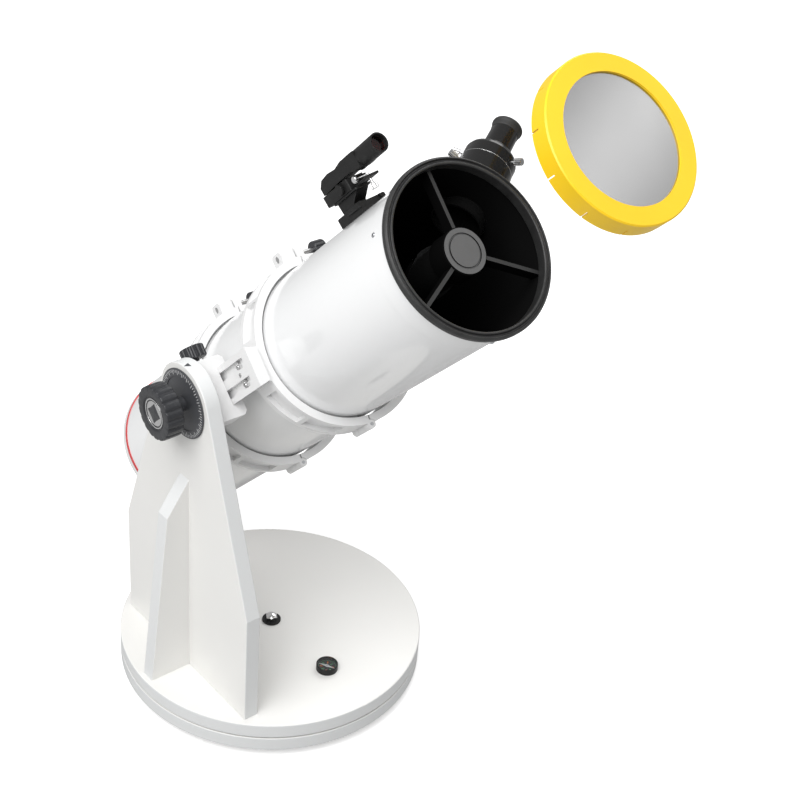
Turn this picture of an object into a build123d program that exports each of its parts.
from build123d import *
import os
from math import acos, atan2, cos, pi, radians, sin, sqrt, tan

# A tabletop Dobsonian reflector: a 150 mm f/5 Newtonian tube, clamped in two hinged rings, on a
# one-armed rocker that turns on a round ground board.
# Row frame: floor at z = 0, azimuth axis on Z, the tube's mouth towards -Y, the arm on the -X side.

# ---------------------------------------------------------------- driving dimensions, millimetres
BOARD_R = 185.0              # both round boards
BOARD_T = 18.0               # every board: ground, turntable, arm and gusset
BOARD_EDGE = 1.2             # rounding on the boards' edges
FOOT_R = 16.0
FOOT_H = 12.0
FOOT_CIRCLE_R = 150.0
GLIDE_R = 14.0
GLIDE_CIRCLE_R = 140.0
GLIDE_T = 1.9
SLIDE_GAP = 0.05             # left between two flat faces that slide on each other
BOLT_R = 4.0                 # azimuth bolt, M8
RUN = 0.08                   # radial clearance of a shaft that turns in its bore

ALT_DEG = 45.5               # the tube's altitude at rest
ALT_Z = 415.0                # altitude axis above the floor
ARM_X = -126.4               # the arm's outer face
ARM_HALF = 124.5             # half the arm's width at the board
ARM_KINK_Z = 195.0           # where the arm starts to taper
ARM_TOP_R = 46.2             # round top, about the altitude axis
GUSSET_W = 52.0              # gusset's width at the board
GUSSET_KNEE_W = 28.5
GUSSET_KNEE_Z = 277.0
GUSSET_TOP_Z = 319.0

SHAFT_R = 6.0                # altitude shaft
BUSH_R = 10.0
CIRCLE_R = 40.0              # setting circle
CIRCLE_T = 2.0
KNOB_R = 31.0                # tension knob
KNOB_T = 20.0
KNOB_FACE_X = -164.6
BADGE_R = 19.0               # round recess in its face

COMPASS_X, COMPASS_Y = 3.0, -110.0
COMPASS_R = 13.0
COMPASS_H = 8.0

TUBE_X = 32.7                # the tube's axis from the azimuth axis
TUBE_R = 87.7
TUBE_WALL = 1.0
TUBE_REAR, TUBE_FRONT = -330.0, 350.0      # along the tube, from the altitude axis
BAND_REAR = 320.0            # thicker painted band behind the rim
BAND_R = 88.6
RIM_R = 92.8                 # black front rim
RIM_BORE_R = 84.0
RIM_FRONT = 356.0
REAR_END = -342.0

RING_W = 36.0                # width of a tube ring
RING_IN, RING_OUT = 90.0, 99.0
FELT_IN = 88.0
RING_FRONT_S, RING_REAR_S = 65.5, -101.0   # the rings' centres along the tube
LUG_Y = 105.0                # clamp screw's height over the tube's axis
LUG_TOP = 112.0
LUG_HALF = 10.0
HINGE_X, HINGE_Y = -4.0, -100.5
KNUCKLE_R = 5.0
PIN_R = 2.0
SLIT = 2.0                   # between the two halves of a ring

BAR_OUT, BAR_IN = -114.5, -100.5           # dovetail bar's two faces, from the tube's axis
BAR_HALF_OUT, BAR_HALF_IN = 22.0, 19.0
BAR_REAR, BAR_FRONT = -100.0, 88.0
BAR_SCREW_Y = 10.4
BAR_SCREWS_S = (57.0, -92.0)
JAW_GAP = 0.3

MIRROR_R = 76.0
MIRROR_FACE_S = -303.0
MIRROR_T = 16.9
MIRROR_CURVE_R = 1500.0      # twice the 750 mm focal length
SECONDARY_R = 24.0
FOCUS_S = 275.0              # focuser's axis along the tube
FOCUS_PHI = 55.0             # and round it, from the top towards +X
VANE_T = 4.0
HUB_R = 24.5
HUB_REAR, HUB_FRONT = 318.0, 345.0

DRAW_R = 27.5                # drawtube
DRAW_BORE_R = 25.4           # two-inch accessories
COLLAR_R = 29.0
COLLAR_BOTTOM, COLLAR_TOP = 130.0, 152.0
HOUSING_R = 33.0
HOUSING_TOP = 118.0
MODULE = 1.0                 # rack and pinion
PINION_TEETH = 12
PITCH_R = MODULE * PINION_TEETH / 2
RACK_PITCH_X = -30.2
PINION_X = RACK_PITCH_X - PITCH_R
PINION_Z = 106.0
BACKLASH = 0.15
EYE_BORE_R = 15.9            # eyepieces of one and a quarter inch

FINDER_PHI = -7.0

FILTER_X, FILTER_Y = 216.1, 52.8           # solar filter, lifted off and held beside the mouth
FILTER_FRONT = 382.0
FILTER_R = 95.6
FILTER_BORE_R = 93.6
FILTER_DEPTH = 24.0
FILM_WINDOW_R = 74.0
FILM_R = 80.0

# ------------------------------------------------------------------------------- derived levels
GROUND_TOP = FOOT_H + BOARD_T
TURN_BOTTOM = GROUND_TOP + GLIDE_T
TURN_TOP = TURN_BOTTOM + BOARD_T
ARM_IN_X = ARM_X + BOARD_T

alt = radians(ALT_DEG)
TUBE_PLANE = Plane(origin=(TUBE_X, 0, ALT_Z), x_dir=(1, 0, 0), z_dir=(0, -cos(alt), sin(alt)))
TUBE = TUBE_PLANE.location   # x to the right, y to the tube's top side, z to its mouth


def round_dir(phi):
    """Unit direction across the tube, phi degrees from its top towards +X."""
    return sin(radians(phi)), cos(radians(phi))


def radial(phi, s=0.0):
    """Place on the tube: x along the tube, z straight out of it at phi, origin on its axis at s."""
    across = round_dir(phi)
    return TUBE * Plane(origin=(0, 0, s), x_dir=(0, 0, 1), z_dir=(across[0], across[1], 0)).location


# ---------------------------------------------------------------------------------- small helpers
def cyl(r, z0, z1):
    """Cylinder about Z between two heights."""
    return Pos(0, 0, (z0 + z1) / 2) * Cylinder(r, z1 - z0)


def ring(r_out, r_in, z0, z1):
    """Tube about Z between two heights."""
    return cyl(r_out, z0, z1) - cyl(r_in, z0 - 1, z1 + 1)


def box(x0, x1, y0, y1, z0, z1):
    """Box between pairs of limits."""
    return Pos((x0 + x1) / 2, (y0 + y1) / 2, (z0 + z1) / 2) * Box(x1 - x0, y1 - y0, z1 - z0)


def x_cyl(r, x0, x1, y=0.0, z=0.0):
    """Cylinder along X."""
    return Pos((x0 + x1) / 2, y, z) * Rot(0, 90, 0) * Cylinder(r, x1 - x0)


def y_cyl(r, y0, y1, x=0.0, z=0.0):
    """Cylinder along Y."""
    return Pos(x, (y0 + y1) / 2, z) * Rot(90, 0, 0) * Cylinder(r, y1 - y0)


def turned(points):
    """Solid of revolution about Z from (radius, height) corners."""
    return revolve(Plane.XZ * make_face(Polyline(*points, close=True)), Axis.Z)


def slab(points, z0, z1):
    """Prism over an XY outline between two heights."""
    return extrude(Pos(0, 0, z0) * make_face(Polyline(*points, close=True)), z1 - z0)


def side_slab(points, y0, y1):
    """Prism over an XZ outline between two Y limits."""
    face = Plane.XZ.offset(-y0) * make_face(Polyline(*points, close=True))
    return extrude(face, y0 - y1)


def sector(phi0, phi1, r_out, r_in, z0, z1):
    """Part of a tube about Z between two angles from the top, under 180 degrees apart."""
    reach = 4 * r_out
    corners = [(0.0, 0.0)]
    for step in range(5):
        across = round_dir(phi0 + (phi1 - phi0) * step / 4)
        corners.append((reach * across[0], reach * across[1]))
    return ring(r_out, r_in, z0, z1) & slab(corners, z0 - 1, z1 + 1)


def fluted(r, z0, z1, count, flute_r, depth):
    """Knob body: a cylinder about Z with flutes cut along its rim."""
    body = cyl(r, z0, z1)
    body = chamfer(body.edges(), min(1.2, 0.12 * r))
    for i in range(count):
        a = 2 * pi * i / count
        at = r + flute_r - depth
        body -= Pos(at * cos(a), at * sin(a), 0) * cyl(flute_r, z0 - 1, z1 + 1)
    return body


def save(node, *solids):
    """One STEP file per node; identical pieces share it as separate solids."""
    shape = solids[0] if len(solids) == 1 else Compound(list(solids))
    export_step(shape, f"parts/{node}.step")


# ----------------------------------------------------------------------------------- ground board
FOOT_ANGLES = (90, 210, 330)
FOOT_STEM_R = 4.0
FOOT_STEM_L = 10.0
BOLT_HEAD_R = 9.0
BOLT_HEAD_Z = (14.0, 18.0)
WASHER_R = 11.5
WASHER_T = 2.0
NUT_R = 7.5
NUT_TOP = 59.8


def polar(radius, degrees_from_x):
    """Move to a point on a circle about Z."""
    a = radians(degrees_from_x)
    return Pos(radius * cos(a), radius * sin(a), 0)


def rounded_disc(r, z0, z1):
    """Board disc with softened edges."""
    disc = cyl(r, z0, z1)
    return fillet(disc.edges().filter_by(GeomType.CIRCLE), BOARD_EDGE)


def make_ground():
    board = rounded_disc(BOARD_R, FOOT_H, GROUND_TOP)
    board -= cyl(BOLT_R, FOOT_H - 1, GROUND_TOP + 1)
    board -= cyl(BOLT_HEAD_R + 2, FOOT_H - 1, BOLT_HEAD_Z[1])
    feet = []
    glides = []
    for angle in FOOT_ANGLES:
        stem = cyl(FOOT_STEM_R, FOOT_H - 1, FOOT_H + FOOT_STEM_L)
        feet.append(polar(FOOT_CIRCLE_R, angle) * (cyl(FOOT_R, 0, FOOT_H) + stem))
        board -= polar(FOOT_CIRCLE_R, angle) * cyl(FOOT_STEM_R, FOOT_H - 1, FOOT_H + FOOT_STEM_L)
        glide = cyl(GLIDE_R, GROUND_TOP, TURN_BOTTOM - SLIDE_GAP)
        glides.append(polar(GLIDE_CIRCLE_R, angle + 60) * glide)
    save("ground_board", board)
    save("feet", *feet)
    save("azimuth_glides", *glides)
    bolt_top = NUT_TOP - 2.5
    bolt = cyl(BOLT_R, BOLT_HEAD_Z[0], bolt_top) + cyl(BOLT_HEAD_R, *BOLT_HEAD_Z)
    save("azimuth_bolt", bolt)
    nut_bottom = TURN_TOP + WASHER_T + SLIDE_GAP
    nut = extrude(Pos(0, 0, nut_bottom) * RegularPolygon(NUT_R, 6), NUT_TOP - nut_bottom)
    dome_r = NUT_R * 1.35
    nut &= Pos(0, 0, NUT_TOP - dome_r) * Sphere(dome_r)
    save("azimuth_nut", nut - cyl(BOLT_R, nut_bottom - 1, bolt_top))


# ------------------------------------------------------------------------- turntable, arm, gusset
SCREW_R = 2.5
SCREW_HEAD_R = 5.0
SCREW_BOTTOM = TURN_BOTTOM + 1.0
SCREW_TOP = TURN_TOP + 35.0
SCREW_PLACES = [(ARM_X + BOARD_T / 2, y) for y in (-90, -30, 30, 90)] + [(ARM_X - 24, 0)]


def board_screw():
    head = Pos(0, 0, SCREW_BOTTOM + 2) * Cone(SCREW_HEAD_R, SCREW_R, 4)
    return head + cyl(SCREW_R, SCREW_BOTTOM, SCREW_TOP)


def arm_outline():
    """Upright sides, then straight tapers that run tangent into the round top."""
    reach = sqrt(ARM_HALF ** 2 + (ALT_Z - ARM_KINK_Z) ** 2)
    touch = atan2(ARM_KINK_Z - ALT_Z, ARM_HALF) + acos(ARM_TOP_R / reach)
    ty, tz = ARM_TOP_R * cos(touch), ALT_Z + ARM_TOP_R * sin(touch)
    left = Polyline((-ARM_HALF, TURN_TOP), (-ARM_HALF, ARM_KINK_Z), (-ty, tz))
    top = ThreePointArc((-ty, tz), (0, ALT_Z + ARM_TOP_R), (ty, tz))
    right = Polyline((ty, tz), (ARM_HALF, ARM_KINK_Z), (ARM_HALF, TURN_TOP), (-ARM_HALF, TURN_TOP))
    return make_face(left + top + right)


def make_rocker():
    screws = [Pos(x, y, 0) * board_screw() for x, y in SCREW_PLACES]
    board = rounded_disc(BOARD_R, TURN_BOTTOM, TURN_TOP) - cyl(BOLT_R + RUN, 0, NUT_TOP)
    arm = extrude(Plane.YZ.offset(ARM_X) * arm_outline(), BOARD_T)
    arm = fillet(arm.faces().sort_by(Axis.X)[0].edges() + arm.faces().sort_by(Axis.X)[-1].edges(), BOARD_EDGE)
    arm -= x_cyl(BUSH_R, ARM_X - 1, ARM_IN_X + 1, 0, ALT_Z)
    gusset = side_slab([(ARM_X, TURN_TOP), (ARM_X, GUSSET_TOP_Z), (ARM_X - GUSSET_KNEE_W, GUSSET_KNEE_Z),
                        (ARM_X - GUSSET_W, TURN_TOP)], -BOARD_T / 2, BOARD_T / 2)
    outer = gusset.edges().filter_by(lambda e: e.center().X < ARM_X - 1 and e.center().Z > TURN_TOP + 1)
    gusset = fillet(outer, BOARD_EDGE)
    for x, y in SCREW_PLACES:
        board -= Pos(x, y, 0) * (board_screw() + cyl(SCREW_HEAD_R, TURN_BOTTOM - 1, SCREW_BOTTOM))
        arm -= Pos(x, y, 0) * cyl(SCREW_R, 0, SCREW_TOP)
        gusset -= Pos(x, y, 0) * cyl(SCREW_R, 0, SCREW_TOP)
    save("turntable_board", board)
    save("side_arm", arm)
    save("gusset", gusset)
    save("board_screws", *screws)
    save("altitude_bush", x_cyl(BUSH_R, ARM_X, ARM_IN_X, 0, ALT_Z)
         - x_cyl(SHAFT_R + RUN, ARM_X - 1, ARM_IN_X + 1, 0, ALT_Z))
    save("azimuth_washer", ring(WASHER_R, BOLT_R + 0.3, TURN_TOP, TURN_TOP + WASHER_T))


# ---------------------------------------------------------------------------------------- compass
def make_compass():
    here = Pos(COMPASS_X, COMPASS_Y, TURN_TOP)
    wall = 1.0
    inner_r = COMPASS_R - wall
    dial_top = 2.2
    pivot_r = 0.5
    case = chamfer(cyl(COMPASS_R, 0, COMPASS_H).edges().group_by(Axis.Z)[-1], 0.4)
    case -= cyl(inner_r, wall, COMPASS_H + 1)
    case += cyl(pivot_r, wall - 0.5, 4.6)
    dial = ring(inner_r, pivot_r, wall, dial_top)
    glass = cyl(inner_r, COMPASS_H - 1.9, COMPASS_H - 0.4)
    tip = inner_r - 1.5
    needle = slab([(-tip, 0), (0, -1.5), (tip, 0), (0, 1.5)], 3.1, 3.7) + cyl(1.8, 3.1, 4.1)
    needle -= cyl(pivot_r + 0.06, 2, 5)
    save("compass_case", here * case)
    save("compass_dial", here * dial)
    save("compass_glass", here * glass)
    save("compass_needle", here * Rot(0, 0, 118) * needle)


# ------------------------------------------------------------------- altitude shaft, circle, knob
CIRCLE_BACK = ARM_X - 0.3
CIRCLE_FACE = CIRCLE_BACK - CIRCLE_T
KNOB_BACK = KNOB_FACE_X + KNOB_T
BOSS_R = 8.0
SHAFT_TIP = KNOB_BACK - 11.5
FLANGE_X = ARM_IN_X + 0.5 - TUBE_X      # saddle's round flange, from the tube's axis
FLANGE_T = 5.0
FLANGE_R = 30.0
KNOB_FLUTES = 18


def make_altitude():
    place = Pos(0, 0, ALT_Z)
    disc = chamfer(x_cyl(CIRCLE_R, CIRCLE_FACE, CIRCLE_BACK).edges(), 0.5)
    disc -= x_cyl(CIRCLE_R - 9, CIRCLE_FACE - 1, CIRCLE_FACE + 0.8)
    disc += x_cyl(BOSS_R, KNOB_BACK + 0.4, CIRCLE_BACK)
    disc -= x_cyl(SHAFT_R, KNOB_BACK, CIRCLE_BACK + 1)
    save("setting_circle", place * disc)
    save("altitude_shaft", place * x_cyl(SHAFT_R, SHAFT_TIP, TUBE_X + FLANGE_X + FLANGE_T))
    knob = fluted(KNOB_R, 0, KNOB_T, KNOB_FLUTES, 3.0, 1.7)
    knob -= cyl(BADGE_R, KNOB_T - 1.6, KNOB_T + 1)
    knob -= cyl(SHAFT_R + RUN, -1, KNOB_BACK - SHAFT_TIP + 0.5)
    outward = Pos(KNOB_BACK, 0, ALT_Z) * Rot(0, -90, 0)
    save("tension_knob", outward * knob)


# --------------------------------------------------------------------- saddle, dovetail bar, jaws
SADDLE_BACK = FLANGE_X + FLANGE_T
SADDLE_FLOOR = BAR_OUT - JAW_GAP
SADDLE_LIP = BAR_IN - 1.2
SADDLE_HALF_S = 18.0
JAW_HALF_S = 15.0
SADDLE_SIDE = 36.0
SADDLE_TOP = 22.0
JAW_SCREW_X = (SADDLE_BACK + SADDLE_FLOOR) / 2
JAW_SCREW_R = 4.0
JAW_KNOB_R = 14.0
JAW_KNOB_Y = (41.0, 55.0)
BAR_SLOPE = (BAR_HALF_OUT - BAR_HALF_IN) / (BAR_IN - BAR_OUT)


def jaw_line(x):
    """Half height of the bar's sloping side at x, plus the jaws' gap."""
    return BAR_HALF_OUT - BAR_SLOPE * (x - BAR_OUT) + JAW_GAP


def make_saddle():
    low = [(SADDLE_BACK, -SADDLE_SIDE), (SADDLE_BACK, SADDLE_TOP), (SADDLE_FLOOR, SADDLE_TOP),
           (SADDLE_FLOOR, -jaw_line(SADDLE_FLOOR)), (SADDLE_LIP, -jaw_line(SADDLE_LIP)),
           (SADDLE_LIP, -SADDLE_SIDE + 4), (SADDLE_LIP - 4, -SADDLE_SIDE)]
    high = [(SADDLE_BACK, SADDLE_TOP + JAW_GAP), (SADDLE_FLOOR, SADDLE_TOP + JAW_GAP),
            (SADDLE_FLOOR, jaw_line(SADDLE_FLOOR)), (SADDLE_LIP, jaw_line(SADDLE_LIP)),
            (SADDLE_LIP, SADDLE_SIDE - 4), (SADDLE_LIP - 4, SADDLE_SIDE), (SADDLE_BACK, SADDLE_SIDE)]
    screw_end = -6.0
    plate = slab(low, -SADDLE_HALF_S, SADDLE_HALF_S) + x_cyl(FLANGE_R, FLANGE_X, SADDLE_BACK)
    plate -= x_cyl(SHAFT_R, FLANGE_X - 1, SADDLE_BACK)
    plate -= y_cyl(JAW_SCREW_R + RUN, screw_end - 2, SADDLE_TOP + 1, JAW_SCREW_X)
    jaw = slab(high, -JAW_HALF_S, JAW_HALF_S)
    jaw -= y_cyl(JAW_SCREW_R + RUN, SADDLE_TOP, SADDLE_SIDE + 1, JAW_SCREW_X)
    knob = fluted(JAW_KNOB_R, *JAW_KNOB_Y, 16, 2.2, 1.3) + cyl(JAW_SCREW_R, screw_end, JAW_KNOB_Y[0] + 1)
    save("saddle_plate", TUBE * plate)
    save("saddle_jaw", TUBE * jaw)
    save("saddle_knob", TUBE * Pos(JAW_SCREW_X, 0, 0) * Rot(-90, 0, 0) * knob)


# ------------------------------------------------------------------------ dovetail bar and screws
GROOVE_IN, GROOVE_OUT = 5.4, 15.4
GROOVE_X = BAR_OUT + 5.0
BAR_SCREW_R = 3.0
PIN_SCREW_R = 1.5


def bar_screw():
    """Socket screw along +X from a head in the bar's groove."""
    head = x_cyl(4.4, GROOVE_X - 3.6, GROOVE_X) - x_cyl(2.3, GROOVE_X - 4, GROOVE_X - 1.6)
    return head + x_cyl(BAR_SCREW_R, GROOVE_X - 0.5, BAR_IN + 6)


def pin_screw():
    return x_cyl(2.6, BAR_OUT, BAR_OUT + 2) + x_cyl(PIN_SCREW_R, BAR_OUT, BAR_IN + 3)


def make_bar():
    bar = slab([(BAR_OUT, BAR_HALF_OUT), (BAR_OUT, -BAR_HALF_OUT), (BAR_IN, -BAR_HALF_IN),
                (BAR_IN, BAR_HALF_IN)], BAR_REAR, BAR_FRONT)
    for side in (-1, 1):
        edges = sorted((side * GROOVE_IN, side * GROOVE_OUT))
        bar -= box(BAR_OUT - 1, GROOVE_X, *edges, BAR_REAR - 1, BAR_FRONT - 14)
    screws = []
    for s in BAR_SCREWS_S:
        for side in (-1, 1):
            spot = Pos(0, side * BAR_SCREW_Y, s)
            bar -= spot * x_cyl(BAR_SCREW_R, BAR_OUT, BAR_IN + 1)
            screws.append(TUBE * spot * bar_screw())
    spot = Pos(0, 0, BAR_SCREWS_S[0])
    bar -= spot * pin_screw()
    screws.append(TUBE * spot * pin_screw())
    save("dovetail_bar", TUBE * bar)
    save("bar_screws", *screws)


# ------------------------------------------------------------------------------------- tube rings
POCKET_FLOOR = 93.5
POCKET_Z = (-11.0, 12.0)
BASE_POCKETS = ((-160, -136), (-133, -108), (-72, -47), (-44, -20))
CAP_POCKETS = ((20, 44), (47, 72), (75, 105), (108, 133), (136, 160))
KNUCKLES_BASE = ((-18.0, -6.6), (6.6, 18.0))
KNUCKLE_CAP = (-6.2, 6.2)
KNUCKLE_ROOM = 0.4
PIN_HALF = 18.6
FELT_HALF = 15.0
PAD_HALF = 20.0
ROD_R = 3.0
ROD_END = -19.0
CLAMP_KNOB_X = (28.0, 43.0)
CLAMP_KNOB_R = 9.5
BIG = 150.0


def ring_half(side):
    """Base half (side -1, towards the arm) or hinged cap (side +1), about its own centre."""
    pockets = BASE_POCKETS if side < 0 else CAP_POCKETS
    band = ring(RING_OUT, RING_IN, -RING_W / 2, RING_W / 2)
    for phi0, phi1 in pockets:
        band -= sector(phi0, phi1, RING_OUT + 2, POCKET_FLOOR, *POCKET_Z)
    if side < 0:
        keep = box(-BIG, -SLIT, 0, BIG, -BIG, BIG) + box(-BIG, HINGE_X - SLIT / 2, -BIG, 0, -BIG, BIG)
        lug = box(-19.5, -SLIT, 88, LUG_TOP, -LUG_HALF, LUG_HALF)
        pad = box(BAR_IN, -86, -PAD_HALF, PAD_HALF, -RING_W / 2, RING_W / 2)
        band += pad
    else:
        keep = box(0, BIG, 0, BIG, -BIG, BIG) + box(HINGE_X + SLIT / 2, BIG, -BIG, 0, -BIG, BIG)
        lug = box(0, 10, 88, LUG_TOP, -LUG_HALF, LUG_HALF)
    lug = chamfer(lug.edges().filter_by(Axis.X).group_by(Axis.Y)[-1], 3.0)
    half = (band & keep) + lug
    half -= cyl(RING_IN, -BIG, BIG)
    bore = ROD_R + 0.7 if side < 0 else ROD_R + RUN
    half -= x_cyl(bore, -25, 15, LUG_Y)
    hinge = Pos(HINGE_X, HINGE_Y, 0)
    own = KNUCKLES_BASE if side < 0 else (KNUCKLE_CAP,)
    other = (KNUCKLE_CAP,) if side < 0 else KNUCKLES_BASE
    for z0, z1 in other:
        half -= hinge * cyl(KNUCKLE_R + KNUCKLE_ROOM, z0 - 0.2, z1 + 0.2)
    for z0, z1 in own:
        half += hinge * cyl(KNUCKLE_R, z0, z1)
    half -= hinge * cyl(PIN_R if side < 0 else PIN_R + RUN, -BIG, BIG)
    return half


def clamp_screw():
    """Steel rod with a moulded knob, along X at the lugs' height."""
    knob = fluted(CLAMP_KNOB_R, 0, CLAMP_KNOB_X[1] - CLAMP_KNOB_X[0], 12, 1.6, 1.0)
    rod = x_cyl(ROD_R, ROD_END, CLAMP_KNOB_X[0] + 1, LUG_Y)
    return rod + Pos(CLAMP_KNOB_X[0], LUG_Y, 0) * Rot(0, 90, 0) * knob


def make_rings():
    pins = []
    felts = []
    for word, s in (("front", RING_FRONT_S), ("rear", RING_REAR_S)):
        here = Pos(0, 0, s)
        base = here * ring_half(-1)
        for screw_s in BAR_SCREWS_S:
            for side in (-1, 1):
                base -= Pos(0, side * BAR_SCREW_Y, screw_s) * x_cyl(BAR_SCREW_R, BAR_OUT, BAR_IN + 6)
        base -= Pos(0, 0, BAR_SCREWS_S[0]) * pin_screw()
        save(f"ring_base_{word}", TUBE * base)
        save(f"ring_cap_{word}", TUBE * here * ring_half(1))
        save(f"clamp_screw_{word}", TUBE * here * clamp_screw())
        pins.append(TUBE * here * Pos(HINGE_X, HINGE_Y, 0) * cyl(PIN_R, -PIN_HALF, PIN_HALF))
        felts.append(TUBE * here * sector(-170, -8, RING_IN, FELT_IN, -FELT_HALF, FELT_HALF))
    save("hinge_pins", *pins)
    save("ring_felts", *felts)


# ------------------------------------------------------------------------------ tube and its ends
HUB_GROOVE = (16.5, 18.5)
CELL_PLATE = (-325.0, -320.0)
CELL_R = 80.0
LIP_TOP = MIRROR_FACE_S + 2.5
COLLIMATION_R = 62.0
COLLIMATION_PHI = (180, 60, -60)
BACK_PLATE = (-338.0, -334.0)
RED_RING = (-334.0, TUBE_REAR)


def across_tube(radius, phi):
    """Move to a point round the tube's axis."""
    across = round_dir(phi)
    return Pos(radius * across[0], radius * across[1], 0)


def make_tube():
    bore = TUBE_R - TUBE_WALL
    shell = ring(TUBE_R, bore, TUBE_REAR, TUBE_FRONT) + ring(BAND_R, bore, BAND_REAR, TUBE_FRONT)
    across = round_dir(FOCUS_PHI)
    out = Plane(origin=(0, 0, FOCUS_S), x_dir=(0, 0, 1), z_dir=(across[0], across[1], 0)).location
    shell -= out * (cyl(DRAW_R + 1.5, 40, 120) + box(RACK_PITCH_X - 3, 0, -5.5, 5.5, 40, 120))
    save("tube_shell", TUBE * shell)
    save("red_ring", TUBE * ring(BAND_R, bore, *RED_RING))
    groove = RIM_FRONT - 2.5
    save("front_ring", TUBE * turned([
        (RIM_BORE_R, 344), (bore, 344), (bore, TUBE_FRONT), (BAND_R, TUBE_FRONT), (BAND_R, 348.5), (92, 348.5),
        (RIM_R, 349.5), (RIM_R, groove), (91, RIM_FRONT), (89.8, RIM_FRONT), (89.3, groove),
        (87.3, groove), (86.8, RIM_FRONT), (85, RIM_FRONT), (RIM_BORE_R, RIM_FRONT - 1)]))


def make_spider():
    hub = chamfer(cyl(HUB_R, HUB_REAR, HUB_FRONT).edges(), 1.2)
    hub -= ring(HUB_GROOVE[1], HUB_GROOVE[0], HUB_FRONT - 1.5, HUB_FRONT + 1)
    spider = hub
    bore = TUBE_R - TUBE_WALL
    for phi in (0, 120, -120):
        vane = box(-VANE_T / 2, VANE_T / 2, HUB_R - 2, bore + 2, 330, 343.5)
        spider += Rot(0, 0, -phi) * vane
    save("spider", TUBE * (spider & cyl(bore, HUB_REAR - 1, HUB_FRONT + 1)))


def make_secondary():
    """A flat at 45 degrees that turns the light out to the focuser, on its round holder."""
    across = round_dir(FOCUS_PHI)
    thick = 6.0
    face = Plane(origin=(0, 0, FOCUS_S), z_dir=(across[0], across[1], -1)).location
    mirror = cyl(SECONDARY_R, FOCUS_S - 60, FOCUS_S + 60) & (face * box(-60, 60, -60, 60, -thick, 0))
    holder = cyl(SECONDARY_R - 3, FOCUS_S - 60, HUB_REAR)
    holder &= face * box(-90, 90, -90, 90, -120, -thick)
    save("secondary_mirror", TUBE * mirror)
    save("secondary_holder", TUBE * holder)


def make_rear():
    bore = TUBE_R - TUBE_WALL
    mirror = cyl(MIRROR_R, MIRROR_FACE_S - MIRROR_T, MIRROR_FACE_S)
    dish = MIRROR_R ** 2 / (2 * MIRROR_CURVE_R)
    mirror -= Pos(0, 0, MIRROR_FACE_S - dish + MIRROR_CURVE_R) * Sphere(MIRROR_CURVE_R)
    cell = cyl(CELL_R, *CELL_PLATE)
    for phi in (0, 120, -120):
        post = box(-7, 7, MIRROR_R + 0.3, CELL_R - 0.5, CELL_PLATE[1] - 1, LIP_TOP)
        lip = box(-7, 7, MIRROR_R - 4, MIRROR_R + 1, MIRROR_FACE_S + 0.2, LIP_TOP)
        cell += Rot(0, 0, -phi) * (post + lip)
    rear = ring(BAND_R, RIM_BORE_R, REAR_END, RED_RING[0]) + ring(bore, RIM_BORE_R, REAR_END + 3, REAR_END + 20)
    plate = cyl(RIM_BORE_R + 1, *BACK_PLATE)
    for phi in COLLIMATION_PHI:
        plate -= sector(phi + 18, phi + 102, 74, 40, BACK_PLATE[0] - 1, BACK_PLATE[1] + 1)
    rear += plate
    screws = []
    for phi in COLLIMATION_PHI:
        here = across_tube(COLLIMATION_R, phi)
        cell -= here * cyl(SCREW_R, CELL_PLATE[0] - 1, CELL_PLATE[0] + 3)
        rear -= here * cyl(SCREW_R, REAR_END - 1, CELL_PLATE[0])
        shank = cyl(SCREW_R, REAR_END + 2, CELL_PLATE[0] + 2.8)
        screws.append(TUBE * here * (shank + fluted(7, REAR_END + 0.2, BACK_PLATE[0] - 0.1, 12, 1.3, 0.7)))
        screws.append(TUBE * here * ring(5.5, SCREW_R, BACK_PLATE[1], CELL_PLATE[0]))
    save("primary_mirror", TUBE * mirror)
    save("mirror_cell", TUBE * cell)
    save("rear_cell", TUBE * rear)
    save("collimation_screws", *screws)


# ------------------------------------------------------------------------ focuser, along its axis
FOCUS = radial(FOCUS_PHI, FOCUS_S)
BASE_TOP = 96.0
RACK_Z = (76.0, 128.0)
RACK_HALF = 4.0
RACK_ADDENDUM = 0.7
RACK_DEDENDUM = 1.1
PRESSURE = radians(20)
KNOB_Y = (37.5, 51.5)
FOCUS_KNOB_R = 15.0


def rack():
    """Teeth along Z on the drawtube's rear side, one of them level with the pinion."""
    pitch = pi * MODULE
    tip, root = RACK_PITCH_X - RACK_ADDENDUM, RACK_PITCH_X + RACK_DEDENDUM
    half = pitch / 4 - BACKLASH
    tip_half = half - RACK_ADDENDUM * tan(PRESSURE)
    root_half = half + RACK_DEDENDUM * tan(PRESSURE)
    body = box(root, -DRAW_R + 1.4, -RACK_HALF, RACK_HALF, *RACK_Z)
    first = -int((PINION_Z - RACK_Z[0] - 1) / pitch)
    last = int((RACK_Z[1] - PINION_Z - 1) / pitch)
    for i in range(first, last + 1):
        z = PINION_Z + i * pitch
        body += side_slab([(tip, z - tip_half), (tip, z + tip_half), (root + 0.2, z + root_half),
                           (root + 0.2, z - root_half)], -RACK_HALF, RACK_HALF)
    return body


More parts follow.
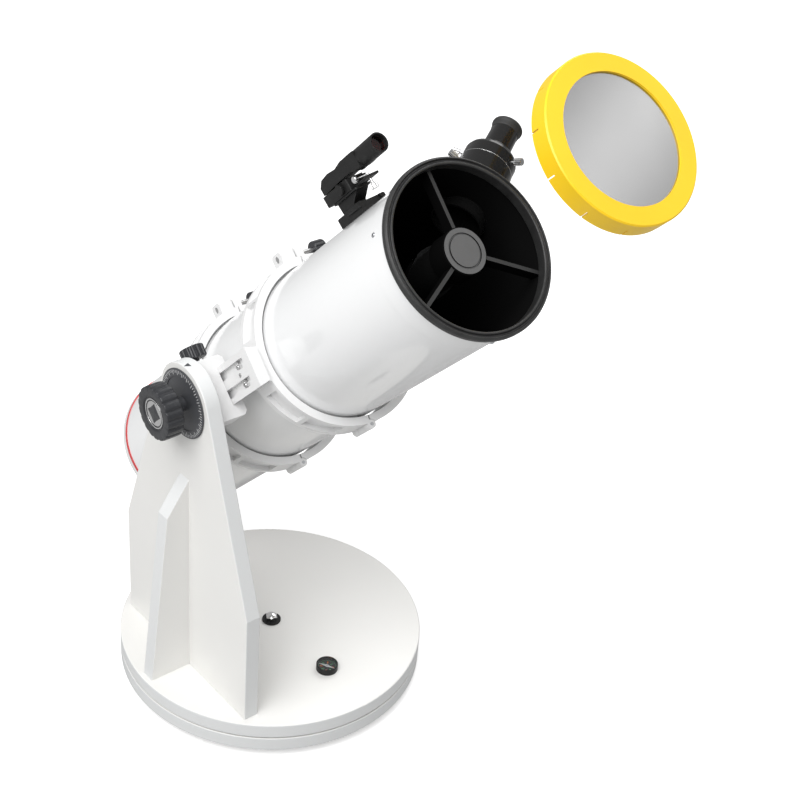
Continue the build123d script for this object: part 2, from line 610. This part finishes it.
def pinion_outline():
    """Involute flanks, with a gap facing the rack."""
    base_r = PITCH_R * cos(PRESSURE)
    tip_r, root_r = PITCH_R + 0.9, PITCH_R - 1.3
    spread = pi / (2 * PINION_TEETH) - BACKLASH / PITCH_R + tan(PRESSURE) - PRESSURE
    flank = []
    for step in range(5):
        r = base_r + (tip_r - base_r) * step / 4
        roll = acos(base_r / r)
        flank.append((r, spread - (tan(roll) - roll)))
    points = []
    for i in range(PINION_TEETH):
        middle = 2 * pi * (i + 0.5) / PINION_TEETH
        tooth = [(root_r, -spread)] + [(r, -a) for r, a in flank]
        tooth += [(r, a) for r, a in reversed(flank)] + [(root_r, spread)]
        points += [(r * cos(middle + a), r * sin(middle + a)) for r, a in tooth]
    return points


def make_focuser():
    base = box(-44, 29.5, -36, 36, 70, BASE_TOP)
    base = fillet(base.edges().filter_by(Axis.Z), 9)
    body = base + cyl(HOUSING_R, BASE_TOP - 4, HOUSING_TOP) + box(-46, -20, -22, 22, BASE_TOP - 4, 114.5)
    body -= x_cyl(TUBE_R, -60, 60)
    body -= cyl(DRAW_R + 0.1, 60, 130)
    body -= box(RACK_PITCH_X - 1.6, -20, -RACK_HALF - 0.4, RACK_HALF + 0.4, 60, 130)
    body -= y_cyl(3 + RUN, -30, 30, PINION_X, PINION_Z)
    body -= y_cyl(PITCH_R + 1.6, -8, 8, PINION_X, PINION_Z)
    save("focuser_body", FOCUS * body)
    draw = ring(DRAW_R, DRAW_BORE_R, 74, COLLAR_BOTTOM + 1) + ring(COLLAR_R, DRAW_BORE_R, COLLAR_BOTTOM, COLLAR_TOP)
    draw += rack() - cyl(DRAW_R - 0.5, 60, 140)
    draw -= collar_screw(RUN)
    save("drawtube", FOCUS * draw)
    shaft = y_cyl(3, -KNOB_Y[1] + 1, KNOB_Y[1] - 1)
    teeth = Rot(90, 0, 0) * slab(pinion_outline(), -RACK_HALF, RACK_HALF)
    wheel = Rot(-90, 0, 0) * fluted(FOCUS_KNOB_R, *KNOB_Y, 20, 1.6, 1.0)
    focus = shaft + teeth + wheel + Rot(180, 0, 0) * wheel
    save("focus_knobs", FOCUS * Pos(PINION_X, 0, PINION_Z) * focus)


def thumbscrew(turn, z, tip, shoulder, head, extra=0.0):
    """Screw that points at the axis, turn degrees from Y towards X; extra widens it to a hole."""
    long = cyl(2 + extra, tip - 5 * (extra > 0), shoulder + 0.5)
    if extra > 0:
        return Pos(0, 0, z) * Rot(0, 0, -turn) * Rot(-90, 0, 0) * long
    knurled = fluted(4, shoulder, head, 12, 0.8, 0.5)
    return Pos(0, 0, z) * Rot(0, 0, -turn) * Rot(-90, 0, 0) * (long + knurled)


COLLAR_SCREW = (180, 141.0, 25.8, 33.0, 42.0)
ADAPTER_SCREWS = {"left": (-155, 161.0, 16.4, 32.0, 41.0), "right": (60, 161.0, 16.4, 32.0, 41.0)}


def collar_screw(extra=0.0):
    return thumbscrew(*COLLAR_SCREW, extra)


def make_eye_end():
    adapter = turned([(EYE_BORE_R, 136), (DRAW_BORE_R - 0.05, 136), (DRAW_BORE_R - 0.05, 152.2), (28.5, 152.2),
                      (28.5, 166), (27, 169.5), (22.5, 173), (20, 177), (EYE_BORE_R, 177)])
    for word, numbers in ADAPTER_SCREWS.items():
        adapter -= thumbscrew(*numbers, RUN)
        save(f"adapter_screw_{word}", FOCUS * thumbscrew(*numbers))
    save("eyepiece_adapter", FOCUS * adapter)
    save("collar_screw", FOCUS * collar_screw())
    save("eyepiece_body", FOCUS * turned([
        (12.5, 148), (EYE_BORE_R - 0.05, 148), (EYE_BORE_R - 0.05, 177.2), (17.6, 177.2), (17.6, 180.5),
        (15.2, 182.5), (14.8, 206), (10, 206), (10, 192), (12.5, 189)]))
    save("eyepiece_lenses", FOCUS * cyl(10, 199, 203), FOCUS * cyl(12.5, 153, 157))
    save("eyecup", FOCUS * turned([
        (10, 206), (15.6, 206), (16.9, 213), (16.9, 215.6), (15.4, 216.2), (13.2, 209.5), (10, 208.6)]))


# ----------------------------------------------------------------- finder, x along the tube's axis
FIND = radial(FINDER_PHI)
TILT_S, TILT_Z = 216.0, 129.0
PAN_S = 228.0
DIAL_S, DIAL_Z = 238.0, 119.5
SIGHT_Z = 133.7              # the sight tube's axis, from the telescope's
SIGHT_R, SIGHT_BORE_R = 10.5, 8.8
SIGHT_REAR, SIGHT_FRONT = 270.0, 313.0
SHOE_S = (214.0, 260.0)
CRADLE_FLOOR, CRADLE_TOP = 112.7, 124.8
LIFT_SCREW_S = 273.0         # screw that tilts the sight
SIDE_SCREW_S, SIDE_SCREW_Z = 262.0, 118.8
PIVOT_R = 1.6


def mirrored_pair(points):
    """A prism outline across the tube on one side and its mirror image."""
    return [points, [(-y, z) for y, z in points]]


def cross_slab(points, s0, s1):
    """Prism along the tube over an outline of (across, out) points."""
    return extrude(Plane.YZ.offset(s0) * make_face(Polyline(*points, close=True)), s1 - s0)


def make_finder():
    rear, front = SHOE_S
    shoe = box(rear, front, -17, 17, 70, 91) - x_cyl(TUBE_R, rear - 1, front + 1)
    for outline in mirrored_pair([(17, 90), (17, 96), (15.5, 97), (9.8, 97), (12.6, 91), (12.6, 90)]):
        shoe += cross_slab(outline, rear, front)
    shoe += x_cyl(3, front - 24, front + 2, -17.5, 95)
    foot = cross_slab([(-12.2, 91.2), (12.2, 91.2), (9.4, 97), (-9.4, 97)], rear + 2, front - 2)
    stem = side_slab([(216, 96.5), (240, 96.5), (240, 101), (257, 111), (215, 111)], -8, 8)
    top = fillet(box(212, 258, -11, 11, 110.4, 112.4).edges().filter_by(Axis.Z), 3)
    bracket = foot + stem + top + Pos(PAN_S, 0, 0) * cyl(3, 112, 118)
    lower = side_slab([(205, CRADLE_FLOOR), (252, CRADLE_FLOOR), (252, CRADLE_TOP), (203, CRADLE_TOP), (203, 115)],
                      -12, 12)
    lower = fillet(lower.edges().filter_by(Axis.Z), 2)
    lower += box(250, 281, -7, 7, CRADLE_FLOOR, CRADLE_FLOOR + 2.4)
    lower -= Pos(PAN_S, 0, 0) * cyl(3 + RUN, 110, 118.4)
    lower += box(TILT_S - 4, TILT_S + 4, -3, 3, CRADLE_TOP - 1, TILT_Z + 3)
    lower += y_cyl(PIVOT_R, -9, 9, TILT_S, TILT_Z)
    lower -= Pos(LIFT_SCREW_S, 0, 0) * cyl(1.5, 110, 120)
    upper = side_slab([(206, 125.8), (245, 127.4), (262, 127.4), (SIGHT_REAR, 125), (282, 125), (282, 142.5),
                       (256, 142.5), (243, 140), (228, 141.5), (214, 140), (206, 134)], -10.5, 10.5)
    upper = fillet(upper.edges().filter_by(Axis.Y).group_by(Axis.Z)[-1], 1.5)
    upper += x_cyl(SIGHT_R, SIGHT_REAR, SIGHT_FRONT, 0, SIGHT_Z)
    upper -= x_cyl(SIGHT_BORE_R, SIGHT_REAR + 4, SIGHT_FRONT + 1, 0, SIGHT_Z)
    upper -= box(TILT_S - 5, TILT_S + 5, -3.3, 3.3, 120, TILT_Z + 4.2)
    upper -= y_cyl(PIVOT_R + RUN, -9.5, 9.5, TILT_S, TILT_Z)
    dial = Rot(90, 0, 0) * fluted(6, 12.1, 15.6, 16, 0.9, 0.6)
    lift = cyl(1.5, 106, 118) + fluted(4.2, 101, 106.5, 14, 0.8, 0.5)
    side = Rot(90, 0, 0) * (cyl(2.7, -6, 7.5) + fluted(3.8, 7.2, 10.7, 12, 0.7, 0.45))
    save("finder_shoe", FIND * shoe)
    save("finder_bracket", FIND * bracket)
    save("finder_cradle", FIND * lower)
    save("finder_body", FIND * upper)
    lens = x_cyl(SIGHT_BORE_R, SIGHT_FRONT - 7, SIGHT_FRONT - 5.5, 0, SIGHT_Z)
    save("finder_lens", FIND * lens)
    save("finder_dial", FIND * Pos(DIAL_S, 0, DIAL_Z) * dial)
    save("finder_adjusters", FIND * Pos(LIFT_SCREW_S, 0, 0) * lift, FIND * Pos(SIDE_SCREW_S, 0, SIDE_SCREW_Z) * side)


# ----------------------------------------------------------------------------------- solar filter
def make_filter():
    back = FILTER_FRONT - 4
    cell = turned([(FILM_WINDOW_R, FILTER_FRONT), (FILTER_R - 1.5, FILTER_FRONT), (FILTER_R, FILTER_FRONT - 1.5),
                   (FILTER_R, FILTER_FRONT - FILTER_DEPTH), (FILTER_BORE_R, FILTER_FRONT - FILTER_DEPTH),
                   (FILTER_BORE_R, back), (FILM_R, back), (FILM_R, back + 1.2), (FILM_WINDOW_R, back + 1.2)])
    for i in range(12):
        slot = box(-0.7, 0.7, FILTER_BORE_R - 1, FILTER_R + 1, FILTER_FRONT - FILTER_DEPTH - 1, FILTER_FRONT - 13)
        cell -= Rot(0, 0, 30 * i + 8) * slot
    beside = TUBE * Pos(FILTER_X, FILTER_Y, 0)
    save("filter_cell", beside * cell)
    save("filter_film", beside * cyl(FILM_R, back + 0.4, back + 1.2))


os.makedirs("parts", exist_ok=True)
make_ground()
make_rocker()
make_compass()
make_altitude()
make_saddle()
make_bar()
make_rings()
make_tube()
make_spider()
make_secondary()
make_rear()
make_focuser()
make_eye_end()
make_finder()
make_filter()
